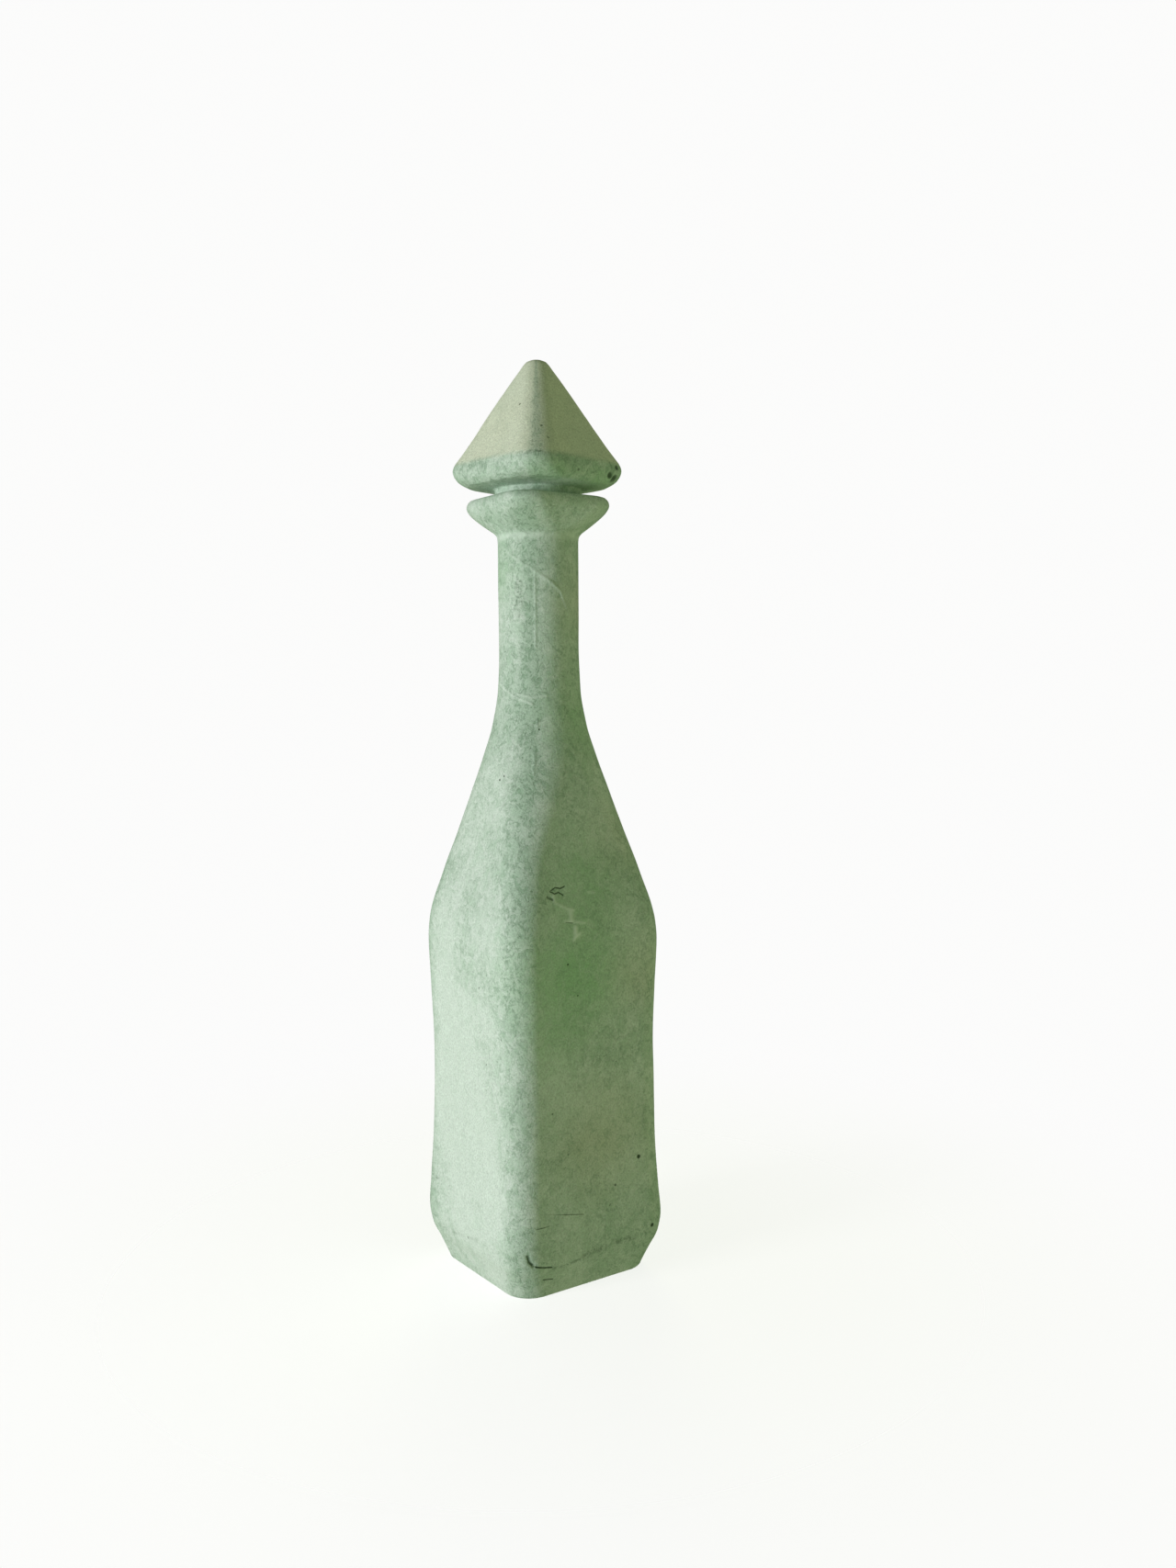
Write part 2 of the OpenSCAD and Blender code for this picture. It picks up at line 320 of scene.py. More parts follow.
def faired(levels, passes):
    """Levels with the small kinks between stations smoothed out. The first and last stay put."""
    t = np.array(levels)
    for _ in range(passes):
        t[2:-2, 1:] = (t[1:-3, 1:] + 2 * t[2:-2, 1:] + t[3:-1, 1:]) / 4
    return [list(row) for row in t]


def rounded(levels):
    """Round levels from pairs of height and radius."""
    return [[height, radius, radius] for height, radius in levels]


def between(first, last, steps):
    """Levels from first to last in even steps, both included."""
    first, last = np.array(first, float), np.array(last, float)
    return [list(mix(first, last, k / steps)) for k in range(steps + 1)]


def grid(levels, quarters):
    """Points on rounded squares at levels of height, half width and corner radius. Quarters says
    how many points each quarter of the way round gets, from the middle of the +X face on."""
    height, half, radius = (np.array(column, float)[:, None] for column in zip(*levels))
    flat = np.maximum(half - radius, 0)
    radius = np.minimum(radius, half)
    parts = []
    for quarter, count in enumerate(quarters):
        way = np.arange(count) / count * (2 * flat + radius * pi / 2)
        turn = np.clip((way - flat) / radius, 0, pi / 2)
        x = flat + radius * np.cos(turn) - np.maximum(way - flat - radius * pi / 2, 0)
        y = np.minimum(way, flat) + radius * np.sin(turn)
        parts.append([(x, y), (-y, x), (-x, -y), (y, -x)][quarter])
    across = np.hstack([part[0] for part in parts])
    deep = np.hstack([part[1] for part in parts])
    return np.dstack([across, deep, np.broadcast_to(height, across.shape)])


def normals(points):
    """Outward direction at each point of a grid whose rows run up the outside."""
    along = np.roll(points, -1, axis=1) - np.roll(points, 1, axis=1)
    up = np.gradient(points, axis=0)
    out = np.cross(along, up)
    size = np.linalg.norm(out, axis=2, keepdims=True)
    return out / np.where(size < 1e-12, 1, size)


def cloud(points, reach, seed):
    """Smooth noise between about -1 and 1 at each point, its lumps about reach across."""
    place = points / reach
    low = np.floor(place.reshape(-1, 3).min(axis=0)) - 1
    place = place - low
    cell = np.floor(place).astype(int)
    values = np.random.default_rng(seed).uniform(-1, 1, cell.reshape(-1, 3).max(axis=0) + 2)
    share = place - cell
    share = share * share * (3 - 2 * share)
    total = 0
    for corner in np.ndindex(2, 2, 2):
        weight = np.prod(np.where(corner, share, 1 - share), axis=-1)
        total = total + weight * values[tuple((cell + corner)[..., k] for k in range(3))]
    return total


def nearest(points, a, b):
    """Distance from each point to the straight line between a and b."""
    ab = b - a
    share = np.clip(((points - a) @ ab) / max(ab @ ab, 1e-9), 0, 1)
    return np.linalg.norm(points - a - share[..., None] * ab, axis=-1)


class Skin:
    """Smooth outer surface that marks are placed on."""

    degrees_per_step = 8

    def __init__(self, points):
        self.points = points
        self.bearing = np.arctan2(points[..., 1], points[..., 0])
        self.height = points[:, 0, 2]

    def place(self, bearing, height):
        """The point of the surface at a bearing in degrees and a height."""
        row = int(np.clip(np.searchsorted(self.height, height), 1, len(self.height) - 1))
        share = (height - self.height[row - 1]) / max(self.height[row] - self.height[row - 1], 1e-9)
        turn = (self.bearing[row] - radians(bearing) + pi) % tau - pi
        column = int(np.argmin(np.abs(turn)))
        return mix(self.points[row - 1, column], self.points[row, column], share)

    def course(self, mark):
        """The mark's course as points on the surface, close enough together to follow it."""
        places = []
        for (b0, z0), (b1, z1) in zip(mark.course, mark.course[1:]):
            steps = 1 if mark.fine else max(1, int(abs(b1 - b0) // self.degrees_per_step))
            shares = [k / steps for k in range(steps)]
            places += [self.place(mix(b0, b1, share), mix(z0, z1, share)) for share in shares]
        return places + [self.place(*mark.course[-1])]


def raise_marks(skin, marks):
    """How far the marks lift each point, in millimetres, and how dark or pale they leave it. No
    relief is narrower than the mesh can hold."""
    lift = np.zeros(skin.points.shape[:2])
    shade = np.zeros_like(lift)
    for mark in marks:
        course = skin.course(mark)
        away = reduce(np.minimum, (nearest(skin.points, a, b) for a, b in zip(course, course[1:])))
        lift += mark.height * np.exp(-((away / max(mark.width, NARROWEST_RELIEF)) ** 2))
        if not mark.fine:
            shade += mark.shade * np.exp(-((away / mark.width) ** 2))
    return lift, shade


def add_object(name, data):
    made = bpy.data.objects.new(name, data)
    bpy.context.scene.collection.objects.link(made)
    return made


def make_mesh(name, points, shades=None, low_cap=True, high_cap=True):
    """A mesh object from a grid of points in millimetres, its rows joined into rings and its ends
    capped. Shades say how dark or pale the marks leave each point."""
    rows, columns = points.shape[:2]
    corner = np.arange(rows * columns).reshape(rows, columns)
    right = np.roll(corner, -1, axis=1)
    quads = np.dstack([corner[:-1], right[:-1], right[1:], corner[1:]]).reshape(-1, 4)
    vertices = points.reshape(-1, 3)
    faces = [tuple(q) for q in quads.tolist()]
    caps = [(low_cap, points[0], corner[0][::-1]), (high_cap, points[-1], corner[-1])]
    for wanted, ring, order in caps:
        if wanted:
            centre = len(vertices)
            vertices = np.vstack([vertices, ring.mean(axis=0)])
            faces += [(int(a), int(b), centre) for a, b in zip(order, np.roll(order, -1))]
    mesh = bpy.data.meshes.new(name)
    mesh.from_pydata((vertices * MM).tolist(), [], faces)
    mesh.update()
    mesh.shade_smooth()
    mesh.set_sharp_from_angle(angle=SHARP_ANGLE)
    if shades is not None:
        kept = np.zeros(len(vertices), np.float32)
        kept[: shades.size] = shades.ravel()
        mesh.attributes.new("marks", "FLOAT", "POINT").data.foreach_set("value", kept)
    return add_object(name, mesh)


# ---------------- materials


def both_ways(operation):
    """A Math node's operation as a Python operator and its reflected form."""
    return (
        lambda self, other: self.math(operation, self, other),
        lambda self, other: self.math(operation, other, self),
    )


class Wire:
    """A shader socket that can stand in a Python expression."""

    def __init__(self, tree, socket):
        self.tree = tree
        self.socket = socket

    def math(self, operation, *values, clamp=False):
        settings = {"operation": operation, "use_clamp": clamp}
        return self.tree.node("ShaderNodeMath", settings, dict(enumerate(values)))

    __add__, __radd__ = both_ways("ADD")
    __sub__, __rsub__ = both_ways("SUBTRACT")
    __mul__, __rmul__ = both_ways("MULTIPLY")
    __truediv__, __rtruediv__ = both_ways("DIVIDE")

    def __abs__(self):
        return self.math("ABSOLUTE", self)

    def at_most(self, other):
        return self.math("MINIMUM", self, other)

    def at_least(self, other):
        return self.math("MAXIMUM", self, other)

    def clamped(self):
        return self.math("ADD", self, 0.0, clamp=True)


class Finish:
    """The node tree of a material or of the world, written as expressions."""

    def __init__(self, name, world=False):
        self.owner = (bpy.data.worlds if world else bpy.data.materials).new(name)
        self.owner.use_nodes = True
        self.ending = "ShaderNodeOutputWorld" if world else "ShaderNodeOutputMaterial"
        self.tree = self.owner.node_tree
        self.tree.nodes.clear()

    def node(self, kind, settings=None, values=None, outlet=0):
        """Adds a node, sets its settings, then its sockets, and returns one outlet as a wire.
        Colours are given as red, green and blue."""
        made = self.tree.nodes.new(kind)
        for key, value in (settings or {}).items():
            setattr(made, key, value)
        for key, value in (values or {}).items():
            socket = made.inputs[key]
            if isinstance(value, Wire):
                self.tree.links.new(value.socket, socket)
            else:
                socket.default_value = (*value, 1.0) if socket.type == "RGBA" else value
        return Wire(self, made.outputs[outlet])

    def vector(self, operation, *values, outlet=0, **named):
        """A Vector Math node, its sockets set in order or by name."""
        sockets = {**dict(enumerate(values)), **named}
        return self.node("ShaderNodeVectorMath", {"operation": operation}, sockets, outlet)

    def place(self):
        """Where a point is, in millimetres."""
        metres = self.node("ShaderNodeTexCoord", outlet="Object")
        return self.vector("SCALE", metres, Scale=1 / MM)

    def part(self, vector, axis):
        """One part of a vector, by its axis: X, Y or Z."""
        return self.node("ShaderNodeSeparateXYZ", {}, {0: vector}, axis)

    def blend(self, share, first, second):
        """Two colours mixed by a share."""
        values = {0: share, 6: first, 7: second}
        return self.node("ShaderNodeMix", {"data_type": "RGBA"}, values, outlet=2)

    def ramp(self, value, low, high):
        """0 below low and 1 above high, with a smooth climb between them."""
        values = {"Value": value, "From Min": low, "From Max": high}
        return self.node("ShaderNodeMapRange", {"interpolation_type": "SMOOTHSTEP"}, values)

    def grain(self, place, reach, detail=2.0, roughness=0.5, stretch=1.0, twist=0.0):
        """Noise whose lumps are about reach millimetres across, stretched upwards and twisted."""
        size = (1 / reach, 1 / reach, 1 / (reach * stretch))
        values = {"Vector": self.vector("MULTIPLY", place, size), "Scale": 1.0}
        values |= {"Detail": detail, "Roughness": roughness, "Distortion": twist}
        return self.node("ShaderNodeTexNoise", {}, values)

    def cells(self, place, scale):
        """Distance from the nearest of many scattered points."""
        values = {"Vector": place, "Scale": scale}
        return self.node("ShaderNodeTexVoronoi", {}, values, "Distance")

    def apart(self, place, centre):
        """Distance in millimetres from a point."""
        return self.vector("DISTANCE", place, tuple(centre), outlet="Value")

    def from_line(self, place, a, b):
        """Distance in millimetres from the straight line between two points."""
        ab = Vector(b) - Vector(a)
        out = self.vector("SUBTRACT", place, tuple(a))
        along = self.vector("DOT_PRODUCT", out, tuple(ab), outlet="Value")
        share = (along * (1 / max(ab.length_squared, 1e-6))).clamped()
        foot = self.vector("SCALE", tuple(ab), Scale=share)
        return self.vector("DISTANCE", out, foot, outlet="Value")

    def patches(self, place, places):
        """Sum of soft round patches, each a centre, a reach and a strength."""
        return sum(
            (1 - self.ramp(self.apart(place, centre), 0, reach)) * strength
            for centre, reach, strength in places
        )

    def surface(self, colour, roughness, height, **constants):
        """Joins colour, roughness and relief in millimetres into the material's surface."""
        values = {"Strength": 1.0, "Distance": MM, "Height": height}
        relief = self.node("ShaderNodeBump", {}, values)
        values = {"Base Color": colour, "Roughness": roughness, "Normal": relief, **constants}
        self.close(self.node("ShaderNodeBsdfPrincipled", {}, values))
        return self.owner

    def close(self, shader):
        """Ends the tree with its shader."""
        out = self.tree.nodes.new(self.ending)
        self.tree.links.new(shader.socket, out.inputs["Surface"])


# How far across the etched skin's noises are, in millimetres, from its thick and thin clouds down
# to its finest speckle, and how far the noises and patches wander off their places.
CLOUD_REACH = 24
MOTTLE_REACH = 5.2
STROKE_REACH = 2.7
SPECKLE_REACH = 0.55
STRAY = 7.0
# How rough the skin is, and how far its relief stands up or goes in, in millimetres.
SKIN_ROUGHNESS = 0.72
SPECKLE_RELIEF = 0.06
MOTTLE_RELIEF = 0.20
FRET_DEPTH = 0.09
SPECK_DEPTH = 0.12
CUT_DEPTH = 0.35


def ridge_mask(glass, place, turn, low, high):
    """1 along the ridges, which stand turned from the diagonals, and 0 in the middle of a face."""
    values = {"Vector": place, "Angle": -turn}
    squared = glass.node("ShaderNodeVectorRotate", {"rotation_type": "Z_AXIS"}, values)
    squared = glass.vector("ABSOLUTE", squared)
    x, y = glass.part(squared, "X"), glass.part(squared, "Y")
    return glass.ramp(x.at_most(y) / x.at_least(y).at_least(0.5), low, high)


def etched_glass(name, looks, skin, turn=0.0, lines=(), pits=(), crease=None):
    """Glass under a matt, chalky skin that is rubbed thin along the ridges and drier above the
    crease. The skin's places are lists of centre, reach and strength: chalk, leaf and olive, the
    last two partly the skin's own colour and partly painted reflected light on the shaded side.
    Turn is how far the ridges stand turned from the diagonals. Lines are both ends, width and
    shade, pits are centre, width and shade, all in millimetres. The darker a line or a pit, the
    deeper it goes. Crease gives the height above the step where the dry skin begins."""
    glass = Finish(name)
    place = glass.place()
    values = {"Vector": place, "Scale": 0.11, "Detail": 3.0}
    wander = glass.node("ShaderNodeTexNoise", {}, values, "Color")
    strayed = glass.vector("ADD", place, glass.vector("SCALE", wander, Scale=STRAY))

    clouds = glass.grain(strayed, CLOUD_REACH, 3.0, 0.55, 1.2)
    mottle = glass.grain(strayed, MOTTLE_REACH, 6.0, 0.76, 1.1, 0.9)
    strokes = glass.grain(place, STROKE_REACH, 4.0, 0.72, 1.15, 1.2)
    speckle = glass.grain(place, SPECKLE_REACH, 2.0, 0.6, 1.3)
    ridge = ridge_mask(glass, place, turn, *skin["ridge"])

    # thick pale skin, rubbed down to green, then the leaf and olive zones: partly the skin's
    # colour, partly painted reflected light, green or warm, on the shaded side
    thick = glass.patches(strayed, skin["chalk"])
    worn = (ridge * 0.5 + (clouds - 0.5) * 1.5 + skin["wear"] - thick * 0.5).clamped()
    rubbed = (worn + (mottle - 0.5) * (1.2 + worn * (1 - worn) * 7.5)).clamped()
    tone = glass.blend(rubbed, looks.chalk, looks.green)
    leaf_and_reflection = glass.patches(strayed, skin["leaf_and_reflection"]) * (0.3 + mottle * 1.4)
    tone = glass.blend(leaf_and_reflection.clamped() * 0.75, tone, looks.leaf_and_reflection)
    olive_and_reflection = glass.patches(strayed, skin["olive_and_reflection"]) * (0.4 + clouds * 1.2)
    tone = glass.blend(olive_and_reflection.clamped() * 0.8, tone, looks.olive_and_reflection)

    # small curls and flecks where the skin is worn through
    curls = 1 - glass.ramp(abs(mottle - 0.5), 0.008, 0.04)
    curls = curls * glass.ramp(strokes, 0.44, 0.54)
    flecks = glass.ramp(strokes, 0.51, 0.62)
    fret = (flecks + curls) * 0.8 * (0.18 + worn * 0.65)
    if crease:
        over_step = crease(glass, place)
        above = glass.ramp(over_step, -1.0, 1.8) * (1 - ridge * 0.5)
        tone = glass.blend(above * (0.62 + clouds * 0.5), tone, looks.beige)
        fret = fret * (1 - above * 0.75)
    fret = fret.clamped()
    tone = glass.blend(fret * 0.62, tone, looks.thin)
    value = 1 + (speckle - 0.5) * 0.80 + (mottle - 0.5) * 0.30
    tone = glass.node("ShaderNodeHueSaturation", {}, {"Value": value, "Color": tone})

    def cuts():
        """How dark each line and pit leaves a point. Their nodes are made one cut after another,
        because a shader that has to hold many of them at once renders black."""
        for a, b, width, shade in lines:
            away = glass.from_line(place, a, b)
            yield (1 - glass.ramp(away, width * 0.4, width * 1.15)) * shade
        for centre, width, shade in pits:
            away = glass.apart(place, centre)
            yield (1 - glass.ramp(away, width * 0.6, width * 1.3)) * shade

    dark = reduce(Wire.at_least, cuts())
    hollow = dark * dark
    # A thin dark line along the crease, strongest at the ridges.
    if crease:
        step = 1 - glass.ramp(abs(over_step - 0.2), 0.15, 0.75)
        step = step * glass.ramp(mottle, 0.42, 0.56)
        dark = dark.at_least(step * (0.10 + ridge * 0.5))
    specks = 1 - glass.ramp(glass.cells(strayed, 0.16), 0.035, 0.07)
    specks = specks * glass.ramp(clouds, 0.50, 0.62)
    dark = dark.at_least(specks * 0.55)
    # Dark marks on the mesh take the dirt colour: real marks, and the painted shade under the
    # neck's ripples. Pale marks take a paler chalk.
    marks = glass.node("ShaderNodeAttribute", {"attribute_name": "marks"}, {}, "Fac")
    dark = dark.at_least(marks * (0.25 + glass.ramp(strokes, 0.42, 0.58))).clamped()
    pale = [min(1, c * 1.15) for c in looks.chalk]
    tone = glass.blend((marks * -1).clamped(), tone, pale)
    tone = glass.blend(dark, tone, looks.dirt_and_shade)

    roughness = SKIN_ROUGHNESS - rubbed * 0.10 + (speckle - 0.5) * 0.2 - dark * 0.25
    height = (speckle - 0.5) * SPECKLE_RELIEF + (mottle - 0.5) * MOTTLE_RELIEF
    height = height - fret * FRET_DEPTH - specks * SPECK_DEPTH - hollow * CUT_DEPTH
    return glass.surface(tone, roughness, height, **{"IOR": 1.5, "Specular IOR Level": 0.28})


def cork_finish(name, looks):
    """Cork cut across its grain, with dark pores."""
    cork = Finish(name)
    place = cork.place()
    clouds = cork.grain(place, 4.0, 4.0, 0.6)
    fine = cork.grain(place, 0.5, 3.0, 0.7, 0.6)
    pores = 1 - cork.ramp(cork.cells(place, 0.55), 0.10, 0.26)
    pores = pores * cork.ramp(clouds, 0.48, 0.60)
    lenticels = cork.ramp(cork.grain(place, 1.4, 2.0, 0.5, 0.35), 0.62, 0.68)
    dark = pores.at_least(lenticels * 0.8)
    shaded = [c * 0.72 for c in looks.cork]
    tone = cork.blend(cork.ramp(clouds, 0.3, 0.7), looks.cork, shaded)
    tone = cork.node("ShaderNodeHueSaturation", {}, {"Value": 0.8 + fine * 0.4, "Color": tone})
    tone = cork.blend(dark * 0.85, tone, looks.cork_dark)
    height = (fine - 0.5) * 0.12 - dark * 0.35
    return cork.surface(tone, 0.85 - fine * 0.15, height, **{"Specular IOR Level": 0.2})


def drawn_lines(skin, marks):
    """The fine marks as straight pieces for the finish: both ends, width and shade."""
    lines = []
    for mark in marks:
        if mark.fine:
            course = skin.course(mark)
            lines += [(a, b, mark.width, mark.shade) for a, b in zip(course, course[1:])]
    return lines


# ---------------- bottle


class Measures:
    """A property group's lengths in millimetres."""

    def __init__(self, group):
        for name, value in group.bl_rna.properties.items():
            if value.type == "FLOAT" and not value.is_array:
                scale = 1 / MM if value.unit == "LENGTH" else 1
                setattr(self, name, getattr(group, name) * scale)


FOOT_EDGE = 0.8
FLOOR = 7.0
SWELL_HEIGHT = 21.0
SHOULDER_HEIGHT = 129.0
NECK_HEIGHT = 240.0
NECK_GLASS = 5.4
LIP_CHAMFER = 0.8
# The taper: how far up it, how far in from the shoulder to the neck, and how round its corners are.
TAPER = [
    (0.10, 0.056, 0),
    (0.24, 0.25, 0),
    (0.37, 0.421, 0.14),
    (0.505, 0.565, 0.48),
    (0.64, 0.726, 0.88),
    (0.74, 0.87, 1),
    (0.86, 0.978, 1),
]
# The collar: how far up it, and how far out from the neck.
COLLAR = [(0.05, 0.03), (0.13, 0.153), (0.40, 0.599), (0.63, 0.903), (0.79, 1)]
COLLAR += [(0.92, 0.93), (0.985, 0.82), (1, 0.75)]
# How many points each quarter gets, with the most on the faces that carry the marks.
BOTTLE_QUARTERS = (48, 64, 128, 96)
BOTTLE_SPACING = 0.6
BOTTLE_INNER_SPACING = 3.0
# The glass's gentle waves, each a reach and a height, and one broad bulge low on the narrow face.
BOTTLE_WAVES = [(34, 0.30), (11, 0.08)]
BOTTLE_FLAT_ENDS = (9, 9)
BULGE_CENTRE = (-35, 18, 45)
BULGE_REACH = 32
BULGE_RISE = 0.35


def taper_station(m, step, glass=0):
    """One step of the taper, on the outside or deeper in by the thickness of the glass."""
    up, inward, roundness = TAPER[step]
    half = mix(m.shoulder_width / 2, m.neck_width / 2, inward)
    corner = mix(m.corner_radius, half, roundness)
    return [mix(SHOULDER_HEIGHT, NECK_HEIGHT, up), half - glass, corner - glass]


def collar_station(m, up, out):
    half = mix(m.neck_width / 2, m.collar_width / 2, out)
    height = mix(m.collar_height, m.mouth_height, up)
    return [height, half, mix(m.neck_width / 2, m.corner_radius, up)]


def bottle_outside(m):
    """Levels from the foot's edge up to the collar's flat top."""
    swell = m.swell_width / 2
    waist = m.waist_width / 2
    shoulder = m.shoulder_width / 2
    neck = m.neck_width / 2
    corner = m.corner_radius
    return [
        [FOOT_EDGE, m.foot_width / 2, corner],
        [SWELL_HEIGHT * 0.38, swell - 3, corner],
        [SWELL_HEIGHT * 0.67, swell - 0.8, corner],
        [SWELL_HEIGHT, swell, corner],
        [SWELL_HEIGHT * 1.5, mix(swell, waist, 0.35), corner],
        [SWELL_HEIGHT * 2.4, mix(swell, waist, 0.82), corner],
        [mix(SWELL_HEIGHT, SHOULDER_HEIGHT, 0.6), waist, corner],
        [mix(SWELL_HEIGHT, SHOULDER_HEIGHT, 0.83), mix(waist, shoulder, 0.52), corner],
        [SHOULDER_HEIGHT, shoulder, corner],
        [SHOULDER_HEIGHT + 6, shoulder - 0.35, corner],
        *(taper_station(m, step) for step in range(len(TAPER))),
        [NECK_HEIGHT, neck, neck],
        [m.collar_height - 1, neck, neck],
        *(collar_station(m, up, out) for up, out in COLLAR),
    ]


def bottle_underside(m):
    """Levels from the middle of the hollow under the foot out to the foot's edge."""
    rim = m.punt_width / 2
    ball = (rim**2 + m.punt_depth**2) / (2 * m.punt_depth)
    radii = np.linspace(0.4, rim - 0.8, 22)
    levels = [[m.punt_depth - ball + np.sqrt(ball**2 - r**2), r, r] for r in radii]
    levels += [[0.08, rim - 0.2, rim - 0.2]]
    edge, corner = m.foot_width / 2 - FOOT_EDGE, m.corner_radius - FOOT_EDGE
    levels += between([0, rim + 0.5, rim + 0.5], [0, edge, corner], 8)
    for turn in (k / 5 * pi / 2 for k in range(1, 5)):
        out = FOOT_EDGE * sin(turn)
        levels.append([FOOT_EDGE * (1 - cos(turn)), edge + out, corner + out])
    return levels


def bottle_inside(m):
    """Levels from the collar's flat top, down the bore and the inside, to the floor's middle."""
    bore = m.bore_width / 2
    neck = m.neck_width / 2 - NECK_GLASS
    waist = m.waist_width / 2 - m.glass
    shoulder = m.shoulder_width / 2 - m.glass
    corner = m.corner_radius - m.glass
    top = m.mouth_height
    rim = mix(m.neck_width / 2, m.collar_width / 2, 0.75)
    lip = bore + LIP_CHAMFER
    levels = between([top, rim, m.corner_radius], [top, lip, lip], 8)[1:]
    bores = between([top - 0.1, bore + 0.6], [top - LIP_CHAMFER, bore], 2)
    bores += between([top - 1.5, bore], [top - m.bore_length, bore], 24)
    levels += rounded(bores + [[top - m.bore_length, neck]])
    levels += curve(
        [
            [top - m.bore_length - 0.2, neck, neck],
            [NECK_HEIGHT, neck, neck],
            taper_station(m, 6, NECK_GLASS),
            *(taper_station(m, step, m.glass) for step in (5, 4, 3, 1)),
            [SHOULDER_HEIGHT + 3, shoulder, corner],
            [mix(SWELL_HEIGHT, SHOULDER_HEIGHT, 0.83), mix(waist, shoulder, 0.52), corner],
            [mix(SWELL_HEIGHT, SHOULDER_HEIGHT, 0.5), waist, corner],
            [SWELL_HEIGHT * 1.2, waist + 0.4, corner],
            [FLOOR + 6, waist - 0.6, corner],
            [FLOOR + 2, waist - 3, corner],
            [FLOOR, waist - 7, corner],
        ],
        BOTTLE_INNER_SPACING,
    )
    levels += between([FLOOR, waist - 7, corner], [FLOOR + 0.6, 0.5, 0.2], 10)[1:]
    return levels


def uneven(skin, marks, waves, flat_ends, seed):
    """How far a skin's marks and its gentle waves lift each point, and how dark or pale the marks
    leave it. Waves are reaches with heights, and flat_ends the distances over which the lift dies
    out at the bottom and the top."""
    height = skin.points[..., 2]
    low, high = height[0, 0], height[-1, 0]
    fade = np.clip((height - low) / flat_ends[0], 0, 1)
    fade = fade * np.clip((high - height) / flat_ends[1], 0, 1)
    wavy = sum(rise * cloud(skin.points, reach, seed + k) for k, (reach, rise) in enumerate(waves))
    raised, shades = raise_marks(skin, marks)
    return (wavy + raised) * fade, shades


class SAKE_OT_bottle(bpy.types.Operator):
    """Builds the bottle: body, taper, neck and collar in one piece of glass"""

    bl_idname = "sake.bottle"
    bl_label = "Bottle"

    def execute(self, context):
        m = Measures(context.scene.sake_bottle)
        outside = grid(faired(curve(bottle_outside(m), BOTTLE_SPACING), 3), BOTTLE_QUARTERS)
        skin = Skin(outside)
        lift, shades = uneven(skin, BOTTLE_MARKS, BOTTLE_WAVES, BOTTLE_FLAT_ENDS, seed=1)
        from_bulge = np.linalg.norm(outside - np.array(BULGE_CENTRE), axis=2)
        lift = lift + BULGE_RISE * np.exp(-((from_bulge / BULGE_REACH) ** 2))
        outside = outside + normals(outside) * lift[..., None]

        below = grid(bottle_underside(m), BOTTLE_QUARTERS)
        inside = grid(bottle_inside(m), BOTTLE_QUARTERS)
        shades = np.vstack([np.zeros(below.shape[:2]), shades, np.zeros(inside.shape[:2])])
        bottle = make_mesh("glass_bottle", np.vstack([below, outside, inside]), shades)
        pits = [(skin.place(b, z), width, shade) for width, shade, b, z in BOTTLE_PITS]
        lines = drawn_lines(skin, BOTTLE_MARKS)
        looks = context.scene.sake_finishes
        bottle.data.materials.append(
            etched_glass("etched_glass_bottle", looks, BOTTLE_SKIN, lines=lines, pits=pits)
        )
        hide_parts("bottle")
        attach(bottle, "bottle")
        return {"FINISHED"}


# ---------------- stopper

SKIRT_SHARE = 0.145
HEAD_CORNER = 10.5
TIP_HALF = 6.0
BEAD_HEIGHT = 2.4
STOP_RADIUS = 9.65
SLEEVE_LENGTH = 20.0
SEAT_GAP = 0.05
STOPPER_QUARTERS = (56, 56, 72, 72)
STOPPER_SPACING = 0.5
STOPPER_INNER_SPACING = 2.0
STOPPER_WAVES = [(16, 0.22), (5, 0.07)]
STOPPER_FLAT_ENDS = (4, 6)
# The step under a pyramid face: how far it rises, the groove at its foot, how far it strays and
# the reach of its strays.
STEP_RISE = 0.16
STEP_GROOVE = 0.10
STEP_STRAY = 0.5
STEP_REACH = 3.2
# The crease between the finishes: how far it lies above the skirt's widest line and how far it
# strays.
CREASE_RISE = 1.6
CREASE_STRAY = 1.4
CHIP_SHADE = 0.85


def stopper_outside(m):
    """Levels of the head, from under its skirt to its tip."""
    base = m.tip_height - m.head_height
    half = m.head_width / 2
    ring = m.ring_width / 2
    corner = HEAD_CORNER
    skirt = m.head_height * SKIRT_SHARE
    top = m.tip_height
    tip = TIP_HALF
    return [
        [base - 0.4, ring + 0.05, ring + 0.05],
        [base - 0.1, ring + 0.5, ring + 0.5],
        [base + skirt * 0.16, half * 0.892, corner + 4],
        [base + skirt * 0.45, half * 0.972, corner + 2],
        [base + skirt * 0.75, half * 0.995, corner + 0.5],
        [base + skirt, half, corner],
        [base + skirt + 1.7, half - 0.35, corner],
        [base + skirt + 3, half - 1.05, corner],
        [mix(base + skirt + 3, top - 4, 0.5), mix(half - 1.05, tip, 0.5), corner - 2.6],
        [top - 4, tip, tip - 0.3],
        [top - 2.2, tip * 0.82, tip * 0.82],
        [top - 1, tip * 0.63, tip * 0.63],
        [top - 0.3, tip * 0.36, tip * 0.36],
        [top, tip * 0.06, tip * 0.06],
    ]


